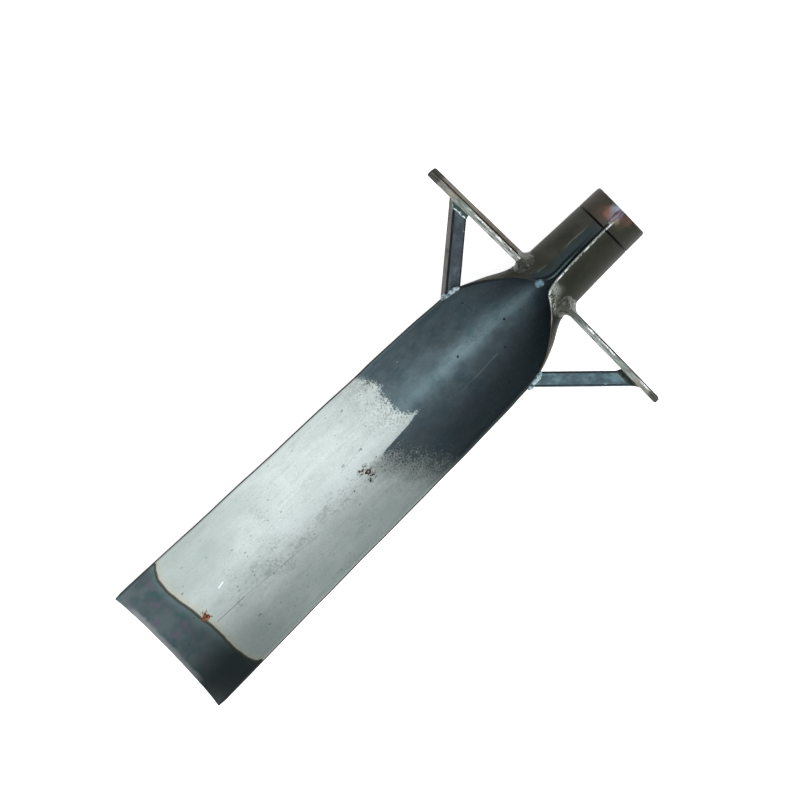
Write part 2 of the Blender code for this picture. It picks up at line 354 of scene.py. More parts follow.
def step_bar(side):
    """Foot step: out from the socket, with its thickness along the sheet and its width upright."""
    sign = SIDES[side]
    turn = Matrix.Rotation(sign * math.radians(STEP_SWING[side]), 3, "Z")
    turn = turn @ Matrix.Rotation(-math.radians(STEP_LEAN[side]), 3, "Y")
    middle = (STEP_AT - LENGTH / 2, sign * (STEP_REACH + STEP_INNER) / 2, STEP_TOP - STEP_WIDE / 2)
    axes = [turn @ Vector(v) for v in ((0, sign, 0), (1, 0, 0), (0, 0, 1))]
    return Bar(middle, axes, (STEP_THICK, STEP_WIDE), STEP_CORNER)


def brace_bar(side):
    """Brace: from the blade's rim to the tip side of the foot step."""
    sign = SIDES[side]
    rim, step = (
        Vector((x - LENGTH / 2, sign * y, z)) for x, y, z in (BRACE_AT_RIM, BRACE_AT_STEP[side])
    )
    along = (step - rim).normalized()
    level = Vector((0, 0, 1)).cross(along).normalized()
    across = Matrix.Rotation(sign * math.radians(BRACE_ROLL[side]), 3, along) @ level
    axes = (along, across, along.cross(across))
    return Bar((rim + step) / 2, axes, (BRACE_SIDE, BRACE_SIDE), BRACE_CORNER)


def make_bar(name, bar, starts, ends, material, node, seed, end_round=0.0):
    """Lofts a bar's section from its start to its end, with chipped corners and a slightly uneven skin."""
    length = np.linalg.norm(ends - starts, axis=1).max()
    share = np.linspace(0, 1, int(length / BAR_GRID))
    if end_round:
        share = np.concatenate((share[:-1], 1 - np.array([0.75, 0.4, 0.15, 0.0]) * end_round / length))
    normals = bar.profile[:, 2:3] * bar.a_axis + bar.profile[:, 3:4] * bar.b_axis
    rings = starts[None] + (ends - starts)[None] * share[:, None, None]
    if end_round:
        left = np.clip(end_round - (1 - share) * length, 0, end_round)
        inset = end_round - np.sqrt(np.maximum(end_round ** 2 - left ** 2, 0))
        rings = rings - normals[None] * inset[:, None, None]
    chipped = np.maximum(wobble(rings, 5.0, seed) - 0.15, 0) * bar.profile[:, 4] * 0.55
    lumpy = 0.10 * wobble(rings, 14.0, seed + 1) + 0.035 * wobble(rings, 3.0, seed + 2)
    rings = rings + normals[None] * (lumpy - chipped)[..., None]
    place = np.zeros(rings.shape)
    place[..., 0] = share[:, None] * length
    place[..., 1] = bar.around
    make_loft(name, rings, material, [node], {"place": place.reshape(-1, 3)}, smooth_angle=40)


# ---- welds


class OnRoll:
    """Lines along a bar that run in to the outside of the roll."""

    def __init__(self, direction):
        self.direction = direction

    def __call__(self, point):
        """Where the line from a point outside meets the surface, and the surface's normal there."""
        def gap(run):
            place = point + self.direction * run
            radius, out, _ = self.measure(place)
            return math.hypot(*out[1:]) - radius
        far = 0.0
        while gap(far) > 0 and far < FARTHEST_HIT:
            far += 1.0
        near = far - 1.0
        for _ in range(24):
            middle = (near + far) / 2
            near, far = (middle, far) if gap(middle) > 0 else (near, middle)
        corner = point + self.direction * near
        _, out, _ = self.measure(corner)
        return corner, out / np.linalg.norm(out)

    def measure(self, point):
        """The roll's outer radius beside a point, the way out to the point, and the height of the centre."""
        radius, _, centre = roll_at(np.array(point[0] + LENGTH / 2))
        return radius + SHEET / 2, np.array((0.0, point[1], point[2] - centre)), centre

    def settle(self, point, lift):
        """The nearest place on the surface, lifted off it."""
        radius, out, centre = self.measure(point)
        out = out / np.linalg.norm(out) * (radius + lift)
        return np.array((point[0], out[1], centre + out[2]))


class OnPlane:
    """Lines along a bar that run out to a flat face."""

    def __init__(self, direction, on_plane, normal):
        self.direction, self.on_plane, self.face = direction, on_plane, normal

    def __call__(self, point):
        run = np.dot(self.on_plane - point, self.face) / np.dot(self.direction, self.face)
        return point + self.direction * run, self.face

    def settle(self, point, lift):
        return point - self.face * (np.dot(point - self.on_plane, self.face) - lift)


def ripple(distance, lean, pitch, seed):
    """The chevron ridges of a bead, a little uneven."""
    phase = distance / pitch + 0.35 * noise.noise(Vector((distance / 5.0, seed, 0))) + lean
    return math.sin(2 * math.pi * phase)


def make_collar(name, bar, target, arc, legs, fullness, ridges, material, nodes, seed):
    """A fillet weld round part of a bar's end: it runs on the surface that the bar meets, and on the bar."""
    first, last = arc
    count = int((last - first) / COLLAR_GRID)
    sweep, pitch = np.linspace(0, 1, 9), 1.7
    rings = []
    for i in range(count):
        share = i / (count - 1)
        around = first + (last - first) * share
        offset, normal = bar.section(around)
        corner, surface = target(bar.middle + offset)
        run_out = math.sqrt(max(1 - abs(2 * share - 1) ** 5, 0.02))
        grow = 1 + 0.30 * noise.noise(Vector((around / 6.0, seed, 3.1)))
        beat = 0.3 * ridges * ripple(around, 0, pitch, seed)
        target_leg, bar_leg = legs[0] * run_out * (grow + beat), legs[1] * run_out * (grow - beat)
        outward = bar.along if np.dot(bar.along, surface) > 0 else -bar.along
        sideways = normal - surface * np.dot(normal, surface)
        sideways /= np.linalg.norm(sideways)
        toe_target = target.settle(corner + sideways * target_leg, -TOE_SINK)
        toe_bar = corner + outward * bar_leg - normal * TOE_SINK
        heel = corner + (sideways * target_leg + outward * bar_leg) * fullness
        lift = (surface + normal) / np.linalg.norm(surface + normal)
        ring = []
        for k in sweep:
            base = (1 - k) ** 2 * toe_target + 2 * k * (1 - k) * heel + k ** 2 * toe_bar
            ridge = ridges * ripple(around, 0.22 * math.cos(math.pi * (k - 0.5)), pitch, seed)
            lump = 0.26 * noise.noise(Vector(base / 2.4) + Vector((seed, 0, 0)))
            ring.append(base + lift * (ridge + lump) * math.sin(math.pi * k) * run_out)
        ring.append(corner - surface * 0.5 - normal * 0.9)
        rings.append(ring)
    make_weld(name, rings, material, nodes, {"towards_bar": np.tile([*sweep, 0.5], count)})


def make_bead(name, path, up, width, height, material, nodes, seed, pitch=1.6, ridges=0.07):
    """A bead laid along a path: a rippled dome over a shallow root, run out at its ends."""
    path = np.array(path, float)
    lengths = np.concatenate(([0], np.cumsum(np.linalg.norm(np.diff(path, axis=0), axis=1))))
    count = int(lengths[-1] / BEAD_GRID)
    rings = []
    for i in range(count):
        distance = lengths[-1] * i / (count - 1)
        centre, ahead, behind = (
            np.array([np.interp(distance + shift, lengths, path[:, k]) for k in range(3)])
            for shift in (0, 0.5, -0.5)
        )
        tangent = (ahead - behind) / np.linalg.norm(ahead - behind)
        lift = np.array(up, float) - tangent * np.dot(up, tangent)
        lift /= np.linalg.norm(lift)
        across = np.cross(tangent, lift)
        share = i / (count - 1)
        run_out = math.sqrt(max(1 - abs(2 * share - 1) ** 4, 0.03))
        grow = run_out * (1 + 0.18 * noise.noise(Vector((distance / 4.0, seed, 7.7))))
        ring = []
        for angle in np.linspace(0, 2 * math.pi, 16, endpoint=False):
            rise = math.sin(angle)
            dome = max(rise, 0)
            swell = 1 + ridges * ripple(distance, 0.25 * dome, pitch, seed) * dome
            swell += 0.06 * noise.noise(Vector((distance / 1.5, angle, seed)))
            level = height * (rise if rise > 0 else 0.5 * rise)
            ring.append(centre + (across * width / 2 * math.cos(angle) + lift * level) * grow * swell)
        rings.append(ring)
    make_weld(name, rings, material, nodes)


# ---- materials


def rgb(text):
    """A colour as it looks on a screen, such as 8a9096, as the light that it stands for."""
    parts = [int(text[i:i + 2], 16) / 255 for i in (0, 2, 4)]
    return (*(p / 12.92 if p <= 0.04045 else ((p + 0.055) / 1.055) ** 2.4 for p in parts), 1)


def set_inputs(node, values):
    for key, value in values.items():
        node.inputs[key].default_value = value


class Value:
    """A number that varies over a surface, for ordinary arithmetic between shader nodes."""

    def __init__(self, surface, socket):
        self.surface, self.socket = surface, socket

    def work(self, operation, *others):
        node = self.surface.add("ShaderNodeMath", operation=operation)
        for socket, value in zip(node.inputs, (self, *others)):
            self.surface.feed(socket, value)
        return Value(self.surface, node.outputs[0])

    def __add__(self, other):
        return self.work("ADD", other)

    def __sub__(self, other):
        return self.work("SUBTRACT", other)

    def __mul__(self, other):
        return self.work("MULTIPLY", other)

    def size(self):
        return self.work("ABSOLUTE")

    def most(self, other):
        return self.work("MAXIMUM", other)

    def rise(self, start, stop):
        """0 up to start and 1 from stop, with a smooth ramp between; start may be the larger."""
        node = self.surface.add("ShaderNodeMapRange", interpolation_type="SMOOTHSTEP")
        ends = (0, 1) if start < stop else (1, 0)
        for socket, value in zip(node.inputs, (self, min(start, stop), max(start, stop), *ends)):
            self.surface.feed(socket, value)
        return Value(self.surface, node.outputs[0])


class Paint:
    """A colour that varies over a surface, and takes coats of other colours."""

    def __init__(self, surface, socket):
        self.surface, self.socket = surface, socket

    def coat(self, share, colour):
        """Lays a colour over this one, as strongly as the share says."""
        self.socket = self.surface.mix(share, self, colour).socket


class Surface:
    """A procedural steel finish. Its patterns are sized in millimetres by the piece's own attributes."""

    def __init__(self, name, metallic, specular):
        self.material = bpy.data.materials.new(name)
        self.material.use_nodes = True
        self.tree = self.material.node_tree
        self.shader = self.tree.nodes["Principled BSDF"]
        set_inputs(self.shader, {"Metallic": metallic, "Specular IOR Level": specular})
        self.place = self.attribute("place").outputs["Vector"]
        self.patterns = 0

    def add(self, kind, **settings):
        node = self.tree.nodes.new(kind)
        for key, value in settings.items():
            setattr(node, key, value)
        return node

    def feed(self, socket, value):
        """Gives a socket a number, a colour as text, or whatever another node puts out."""
        if isinstance(value, str):
            value = rgb(value)
        if isinstance(value, (Value, Paint)):
            value = value.socket
        if isinstance(value, bpy.types.NodeSocket):
            self.tree.links.new(value, socket)
        else:
            socket.default_value = value

    def attribute(self, name):
        return self.add("ShaderNodeAttribute", attribute_name=name)

    def number(self, name):
        return Value(self, self.attribute(name).outputs["Fac"])

    def parts(self, name):
        split = self.add("ShaderNodeSeparateXYZ")
        self.feed(split.inputs[0], self.attribute(name).outputs["Vector"])
        return [Value(self, out) for out in split.outputs]

    def stretched(self, size, stretch):
        """The place on the piece, in features of the given size, shifted anew for every pattern."""
        self.patterns += 1
        node = self.add("ShaderNodeMapping")
        self.feed(node.inputs["Vector"], self.place)
        shift = [self.patterns * step for step in PATTERN_SHIFT]
        set_inputs(node, {"Scale": [1 / (size * k) for k in stretch], "Location": shift})
        return node.outputs[0]

    def noise(self, size, detail=2.0, rough=0.5, stretch=(1, 1, 1)):
        """Cloudy variation from about -0.5 to 0.5."""
        node = self.add("ShaderNodeTexNoise")
        self.feed(node.inputs["Vector"], self.stretched(size, stretch))
        set_inputs(node, {"Scale": 1.0, "Detail": detail, "Roughness": rough})
        return Value(self, node.outputs["Fac"]) - 0.5

    def spots(self, spacing, radius, share, stretch=(1, 1, 1)):
        """Small round marks: their spacing, their radius in spacings, and the share of places that have one."""
        node = self.add("ShaderNodeTexVoronoi")
        self.feed(node.inputs["Vector"], self.stretched(spacing, stretch))
        set_inputs(node, {"Scale": 1.0})
        pick = self.add("ShaderNodeSeparateColor")
        self.feed(pick.inputs[0], node.outputs["Color"])
        chosen = Value(self, pick.outputs[0]).rise(share + 0.01, share)
        grown = Value(self, pick.outputs[1]) * radius + radius * 0.5
        inside = (grown - Value(self, node.outputs["Distance"])).rise(0.0, radius * 0.5)
        return inside * chosen

    def mix(self, share, first, second):
        node = self.add("ShaderNodeMix", data_type="RGBA")
        self.feed(node.inputs["Factor"], share)
        self.feed(node.inputs[6], first)
        self.feed(node.inputs[7], second)
        return Paint(self, node.outputs[2])

    def finished(self, colour, rough, height, depth, metal=None):
        """Links up the looks, with bumps of the given depth in millimetres, and hands over the material."""
        bump = self.add("ShaderNodeBump")
        set_inputs(bump, {"Strength": 1.0, "Distance": depth * MM})
        self.feed(bump.inputs["Height"], height)
        looks = {"Base Color": colour, "Roughness": rough, "Normal": bump.outputs[0]}
        if metal:
            looks["Metallic"] = metal
        for key, value in looks.items():
            self.feed(self.shader.inputs[key], value)
        return self.material


def streak(at, start, stop, width):
    """A straight scratch from start to stop, each given as along and across."""
    run = math.dist(start, stop)
    ux, uy = (stop[0] - start[0]) / run, (stop[1] - start[1]) / run
    x, y = at.along - start[0], at.across - start[1]
    reach = x * ux + y * uy
    off = (y * ux - x * uy).size()
    return off.rise(width, width * 0.4) * reach.rise(-0.5, 1.0) * reach.rise(run + 0.5, run - 1.5)


def blot(along, across, centre, radius, ragged, soft=0.2):
    """A round mark, frayed by a noise: its centre as along and across, and how soft its edge is."""
    x, y = along - centre[0], across - centre[1]
    distance = (x * x + y * y).work("SQRT")
    return (distance + ragged * radius * 1.6).rise(radius * (1 + soft), radius * (1 - soft))


def span(value, start, stop, soft):
    """1 between start and stop, and 0 outside them."""
    return value.rise(start - soft, start + soft) * value.rise(stop + soft, stop - soft)


def bare_steel(s, at):
    """The working part of the blade, cleaned to pale grey steel with a fine dark grain, with painted shade
    towards the right wall and a painted highlight down the middle.
    """
    colour = s.mix((at.cloud + 0.45).rise(0.1, 0.9), "bec7c3", "d6dddb")
    colour.coat((at.streaks + at.patch * 0.6).rise(-0.1, 0.4) * 0.40, "9ca5a1")
    colour.coat(at.grain.rise(0.0, 0.25) * 0.42, "808984")
    colour.coat((at.fine * -1.0).rise(0.06, 0.26) * 0.40, "f4f8f7")
    # Painted shade: a little darker towards the right wall, which faces away from the key light.
    colour.coat((at.across + at.patch * 14.0).rise(-2, -22) * 0.10, "8b958e")
    clouded = at.along + at.cloud * 60.0
    colour.coat(clouded.rise(130, 60) * (at.across.rise(2, 26) * 0.25 + 0.25), "9aa5a1")
    # Painted shade on the right wall towards the tip.
    colour.coat(clouded.rise(120, 50) * at.across.rise(-8, -40) * 0.36, "7f8a86")
    colour.coat(at.along.rise(205, 240) * at.across.rise(16, 34) * (at.patch + 0.35), "9ba4a0")
    colour.coat(at.along.rise(165, 110) * at.across.rise(14, 26) * 0.25, "9aa5a1")
    # Painted highlight: a pale streak down the middle of the hollow, where the band lamp's glint runs.
    colour.coat(span(at.across, -11, 9, 6) * at.along.rise(150, 200) * 0.35, "e4ebe9")
    flecks = s.spots(3.2, 0.15, 0.40, (1.9, 1, 1)).most(s.spots(1.9, 0.16, 0.25))
    thick = (s.noise(34, 2) + 0.1).rise(-0.1, 0.25)
    colour.coat(flecks * (thick * 0.6 + 0.25), "5b6461")
    chips = s.spots(10.0, 0.085, 0.5, (1.8, 1, 1)) * (at.fine + at.grain).rise(-0.12, 0.1)
    colour.coat(chips * 0.9, "3d4543")
    pepper = (s.noise(1.1, 3, 0.8) + s.noise(18, 2) * 0.7).rise(0.12, 0.30)
    colour.coat(pepper * 0.55, "68716d")
    stained = span(at.along, 60, 225, 22) * span(at.across, -18, 4, 6)
    stained = stained * (s.noise(9, 3, 0.6, (1.7, 1, 1)) + s.noise(2.5, 3, 0.7) * 0.8).rise(0.0, 0.25)
    colour.coat(stained * 0.5, "7f8883")
    near_scale = (at.scale + at.cloud * 34.0).rise(-38, 2) * (at.fine + at.grain).rise(-0.02, 0.2)
    colour.coat(near_scale * 0.6, "656d6b")
    beside_scale = (at.scale + at.patch * 20.0).rise(-30, -4) * at.across.rise(-4, -12)
    colour.coat(beside_scale * 0.55, "585d56")
    return colour


def mill_scale(s, at):
    """Blue-black scale over the upper blade and the neck, with painted shade to the right and into the throat,
    and a painted highlight band down the middle with painted shade either side of it.
    """
    colour = s.mix((at.patch + at.cloud).rise(-0.35, 0.4), "525f64", "6a7b81")
    colour.coat(at.streaks.rise(0.0, 0.3) * 0.4, "62777f")
    # Painted shade: darker towards the right wall, which faces away from the key light.
    colour.coat(at.across.rise(8, -34) * 0.72, "4a5155")
    # A painted highlight band down the middle, where the band lamp glints, with painted shade either side of it.
    off_middle = (at.across + at.patch * 7.0 - 9.5).size()
    darker = off_middle.rise(5, 16) * (at.across.rise(-4, 4) * 0.4 + 0.2)
    colour.coat(at.along.rise(275, 350) * darker, "30393d")
    middle = off_middle.rise(9, 1) * at.along.rise(230, 330)
    colour.coat(middle * (at.streaks + at.fine * 0.6).rise(-0.25, 0.25) * 0.45, "80989b")
    teal = (s.noise(17, 2) + at.streaks * 0.4).rise(0.0, 0.25)
    colour.coat(teal * 0.45, "37525a")
    # Painted shade into the throat, lighter along its middle.
    beside = (at.across + 2.0).size().rise(3, 16)
    colour.coat(at.along.rise(NECK, THROAT) * (beside * 0.42 + 0.03), "222a30")
    colour.coat(s.noise(2.2, 3, 0.7).rise(0.04, 0.28) * 0.38, "74888f")
    colour.coat(at.grain.rise(0.05, 0.25) * 0.30, "20272b")
    colour.coat(s.spots(9, 0.08, 0.35) * 0.8, "15191c")
    colour.coat(s.spots(12, 0.06, 0.35) * 0.6, "98a5aa")
    for centre in ((374.0, 3.8), (326.7, 7.7)):
        colour.coat(blot(at.along, at.across, centre, 1.0, at.fine) * 0.9, "0c1013")
    return colour


def scale_cover(at):
    """Where the scale is: mottled to the left, crisp in the middle, and peppered well out to the right."""
    width = at.across.rise(-4.5, -1.0) * 7.0 + at.across.rise(-6.0, -10.0) * 27.0 + 0.9
    ragged = at.scale.work("DIVIDE", width) + at.patch * 1.1 + at.grain * 3.0 + at.fine * 2.0
    return ragged.rise(-0.2, 0.2)


def blued_tip(s, at):
    """Steel blued by the heat of hardening, patchy teal and violet, with its edge ground pale and painted shade
    towards the right.
    """
    colour = s.mix((s.noise(14, 2) * 1.6 + 0.5).rise(0.25, 0.75), "465355", "535d60")
    colour.coat(s.noise(11, 2).rise(0.02, 0.18) * 0.85, "395252")
    colour.coat(s.noise(10, 2).rise(0.04, 0.20) * 0.65, "5c5263")
    colour.coat(at.line.rise(-9, -1.5) * 0.5, "5f7272")
    # Painted shade on the right wall of the tip.
    colour.coat(at.across.rise(-12, -46) * 0.97, "2c3333")
    colour.coat(at.grain.rise(0.0, 0.3) * 0.3, "20282a")
    colour.coat(s.spots(6, 0.12, 0.4) * 0.5, "23292a")
    ground = (at.along + at.patch * 5.0).rise(5.5, 1.5) * at.across.rise(-44, -26) * at.across.rise(58, 40)
    colour.coat(ground * 0.75, "88898b")
    return colour


def add_marks(s, at, colour):
    """Rust and scratches inside the hollow."""
    rust = blot(at.along, at.across, (39.3, -1.0), 3.4, s.noise(2.6, 3, 0.8, (1, 1.6, 1)) * 3.0)
    colour.coat(rust, s.mix(s.noise(1.8, 2).rise(-0.12, 0.12), "44281f", "9a5f40"))
    strings = s.noise(3.2, 2, 0.8, (1.8, 0.8, 1)).size().rise(0.09, 0.04)
    strings = strings * s.noise(3.5, 1).rise(-0.1, 0.0)
    knot = blot(at.along, at.across, (211.3, -10.1), 7.0, at.patch * 2.0) * strings
    colour.coat(knot, s.mix(at.fine.rise(-0.1, 0.1), "281b17", "5c3f36"))
    for start, stop, width, tone, strength in (
        ((62, 8), (69, 9.4), 0.8, "f4f8fa", 0.9),
        ((43, -10.8), (74, -11.6), 0.5, "6e726a", 0.7),
        ((74, -11.6), (150, -18.0), 0.4, "868d86", 0.5),
        ((308, -15.4), (328, -14.6), 0.5, "71828a", 0.5),
        ((326, -14.9), (352, -13.4), 0.6, "7b8c93", 0.6),
        ((238, 22), (214, 26), 0.35, "9aa39f", 0.6),
        ((196, 6), (231, 11), 0.3, "939b98", 0.6),
    ):
        colour.coat(streak(at, start, stop, width) * strength, tone)


def brown_scale(s, at):
    """The outside: dull olive-brown scale, blue beside the seam, heat colours where the mouth is welded, painted
    shade on the side towards the key light and beside the slot, and a painted highlight on the mouth's edge.
    """
    colour = s.mix((at.cloud + at.patch).rise(-0.4, 0.4), "33342d", "494840")
    colour.coat((at.streaks + at.patch * 0.6).rise(0.1, 0.5) * 0.5, "2a2d2d")
    colour.coat(at.grain.rise(0.0, 0.3) * 0.3, "23251f")
    # Painted shade down the right side of the socket, which faces the key light, so that it shows no brighter
    # than the left.
    painted_shade_on_lit_side = at.from_top.rise(6, -10) * at.from_top.rise(-60, -35) * at.near_top
    colour.coat(painted_shade_on_lit_side * 0.7, "191b14")
    colour.coat(s.spots(8, 0.08, 0.25) * 0.5, "6d5c4d")
    left_lip = at.across.rise(0, 5) * at.along.rise(THROAT, THROAT + 6)
    left_lip = left_lip * at.along.rise(MOUTH_WELD + 3, MOUTH_WELD - 6)
    lip = at.edge + at.fine * 1.2
    colour.coat(left_lip * lip.rise(11.0, 4.0) * (at.patch + 0.8), "253238")
    # Painted shade: near-black along the turned-in left lip, beside the slot.
    colour.coat(left_lip * lip.rise(3.4, 2.4) * at.along.rise(MOUTH_WELD, 440), "0d1214")
    pale = left_lip * lip.rise(1.5, 0.9) * (at.streaks + at.fine * 0.4).rise(-0.1, 0.12)
    colour.coat(pale * at.along.rise(465, 430) * 0.8, "4f6265")
    crease = left_lip * span(lip + at.patch * 3.0, 8.0, 9.0, 0.4) * at.streaks.rise(0.02, 0.12)
    colour.coat(crease * 0.35, "8d938c")
    right_lip = at.across.rise(0, -5) * at.along.rise(402, 407) * (at.along + at.patch * 8.0).rise(426, 417)
    mottled = right_lip * (at.edge + at.patch * 14.0).rise(12, 3) * (at.fine * 0.6 + at.patch).rise(-0.2, 0.16)
    colour.coat(mottled * 0.85, "a3a9a1")
    warmed = at.along.rise(468, 490) * at.from_top.rise(-12, 2) * (at.cloud * 2 + 0.6)
    colour.coat(warmed * 0.45, "57483f")
    for centre, radius, tone, strength in (
        ((487.5, 10.0), 7.0, "5d4a42", 0.7),
        ((491.5, 5.8), 4.6, "8f6350", 0.8),
        # a blue-grey painted highlight on the mouth's rounded edge
        ((497.0, 2.6), 4.8, "939fae", 0.9),
        ((492.0, 0.8), 4.6, "7b6870", 0.8),
        ((494.5, -1.5), 3.2, "66546c", 0.8),
        ((490.0, -2.8), 3.0, "a08a7c", 0.6),
        ((489.0, -7.5), 4.5, "474533", 0.45),
        ((497.0, -8.5), 5.0, "5f463e", 0.6),
    ):
        mark = blot(at.along, at.from_top, centre, radius, at.patch + at.fine, 0.5) * at.near_top
        colour.coat(mark * (at.fine + at.streaks + 0.9).rise(0.4, 1.0) * strength, tone)
    seam_end = blot(at.along, at.from_top, (486.4, -1.2), 1.8, at.fine, 0.5)
    colour.coat(seam_end * at.near_top * 0.8, "a9a89c")
    colour.coat(at.scribed, "060707")
    return colour


def add_rims(s, at, colour):
    """Sheared edges: as the blade but darker, with painted shade on the right; painted black shade up the neck's
    left and inside the neck's right; a painted highlight on the neck's right edge; and rubbed bright, with
    painted glints, right of the seam.
    """
    rim, left, right = at.rim, at.across.rise(-5, 5), at.across.rise(5, -5)
    # Rims a little darker all round, and darker on the right as painted shade beside the shaded right wall.
    colour.coat(rim * (right * 0.25 + 0.12), "16191a")
    # Painted shade: the left rim up the neck painted black, as the shadow under the curled-in flange.
    black = s.mix(at.fine.rise(-0.3, 0.3), "0f1113", "2a2e30")
    colour.coat(rim * left * at.along.rise(NECK, NECK + 20), black)
    up_right = rim * right * at.along.rise(NECK, NECK + 14)
    # Painted shade inside the right rim up the neck.
    colour.coat(up_right * at.inside, "15181a")
    outer_half = up_right * at.outside.rise(0.5, 0.7)
    colour.coat(outer_half * at.along.rise(THROAT, THROAT - 6), "4c433c")
    # Painted highlight: a pale pinkish line on the neck's right edge, where the sheared edge catches the light.
    colour.coat(outer_half * at.along.rise(394, 400) * at.along.rise(410, 406), "a39aa3")
    seam = right * at.along.rise(403, 410) * at.along.rise(MOUTH_WELD + 3, MOUTH_WELD)
    # Rubbed bare edge right of the seam, with painted white glints.
    bright = seam * outer_half.most(at.edge.rise(1.1, 0.6) * at.outside.rise(0.4, 0.6))
    glint_on_rubbed_edge = s.mix((s.noise(7, 2, 0.5, (2, 1, 1)) * 2.5 + 0.5).rise(0.2, 0.8), "8b908b", "f6f9f7")
    colour.coat(bright * s.noise(2.0, 3, 0.7, (2.2, 1, 1)).rise(-0.12, 0.03), glint_on_rubbed_edge)


def sheet_finish():
    """Bare steel between the heat line and the scale, scale over the neck, dull brown scale outside."""
    s = Surface("rolled_sheet_steel", 0.35, 0.08)
    at = SimpleNamespace()
    at.along, at.across, _ = s.parts("place")
    at.heat, at.scale, at.outside = s.parts("zones")
    at.edge, at.from_top, below_top = s.parts("edges")
    at.near_top = below_top.rise(80, 60)
    at.rim = s.number("rim")
    at.inside = at.outside.rise(0.6, 0.4)
    at.fine, at.grain = s.noise(1.4, 3), s.noise(0.8, 3, 0.7)
    at.patch, at.cloud = s.noise(11, 3, 0.6), s.noise(26, 3, 0.6, (1.6, 1, 1))
    at.streaks = s.noise(3.0, 3, 0.6, (9, 1, 1))
    at.line = at.heat + at.patch * 1.2
    at.scribed = (at.along - SCRIBED_AT).size().rise(1.05, 0.75) * at.near_top

    in_scale = scale_cover(at)
    inner = s.mix(in_scale, bare_steel(s, at), mill_scale(s, at))
    inner.coat(at.line.rise(0.6, -0.6), blued_tip(s, at))
    halo = at.line.rise(-0.5, 0.8) * at.line.rise(8.0, 1.0)
    inner.coat(halo * 0.40, "b5ad95")
    inner.coat((at.line + 0.3).size().rise(1.6, 0.8) * 0.85, "3b3b31")
    add_marks(s, at, inner)
    colour = s.mix(at.inside, brown_scale(s, at), inner)
    add_rims(s, at, colour)
    rough = in_scale * -0.10 + 0.50 + at.outside * 0.08 + at.patch * 0.12 + at.grain * 0.06
    height = at.fine * 0.5 + at.grain * 0.5 + at.patch * 0.8 - at.scribed * 2.0
    return s.finished(colour, rough, height, 0.12, (in_scale * 0.33 + 0.12) * at.inside)


def bar_patterns(s, fine, patch, streaks, long_streaks):
    """Fine grain, patches and lengthwise streaks, by their sizes."""
    return (
        s.noise(fine, 3),
        s.noise(patch, 3, 0.6, (1.8, 1, 1)),
        s.noise(streaks, 3, 0.7, (long_streaks, 1, 1)),
    )


def bar_finished(s, body, fine, patch, metal=None):
    return s.finished(
        body, fine * 0.12 + patch * 0.15 + 0.50, fine * 0.6 + patch + s.noise(0.7) * 0.3, 0.15, metal
    )


def step_finish(side, flank_tones, top_tones, painted_shade_width, worn_glint_spans, head, dark_end):
    """Foot step: streaky pale top, a flank towards the mouth, a dark line of painted shade beside their worn
    corner, and painted glints along that corner.
    """
    s = Surface(side + "_step_steel", 0.0, 0.0)
    along, around, _ = s.parts("place")
    fine, patch, streaks = bar_patterns(s, 1.2, 6, 1.1, 10)
    top_from, top_to = STEP_WIDE + 0.4, STEP_WIDE + STEP_THICK
    flank = s.mix((streaks * 0.7 + patch * 1.4 + 0.5).rise(0.2, 0.8), *flank_tones)
    pale = s.mix((streaks * 3.0 + patch * 0.4 + 0.5).rise(0.1, 0.9), *top_tones)
    on_top = around.rise(top_from - 0.6, top_from + 0.4) * around.rise(top_to + 1, top_to)
    body = s.mix(on_top, flank, pale)
    # Painted shade: a near-black band on the flank just below the top corner.
    body.coat(span(around, top_from - painted_shade_width, top_from - 0.6, 0.3) * (patch + 0.9).rise(0, 1), "0d0e0c")
    body.coat(span(around, top_from + 1.9, top_from + 2.4, 0.2) * 0.5, "4a5152")
    # Worn top corner with painted white glints in dashes.
    dashes = s.noise(2.2, 3, 0.8, (4, 1, 1)) + fine * 0.5
    worn = span(around, top_from - 0.2, top_from + 1.4, 0.2) * dashes.rise(-0.04, 0.05)
    for start, stop in worn_glint_spans:
        body.coat(worn * span(along, start, stop, 2.5), "f3f5f4")
    ragged, upper = along + patch * 12.0, around.rise(top_from - 4, top_from - 1)
    body.coat(span(ragged, *head, 3.0) * upper * patch.rise(-0.25, 0.1) * 0.6, "8c9a8f")
    body.coat(span(ragged, head[1], dark_end, 2.0) * upper * patch.rise(-0.3, 0.15) * 0.7, "857d6d")
    body.coat(ragged.rise(dark_end - 2, dark_end + 3) * 0.85, "3b3a35")
    root = worn_glint_spans[0][0]
    body.coat((along + patch * 8.0).rise(root + 6, root - 14) * 0.8, "464841")
    body.coat(s.spots(5, 0.12, 0.4) * 0.7, "1d1f1e")
    return bar_finished(s, body, fine, patch, around.rise(top_from, top_from + 1.0) * 0.12)


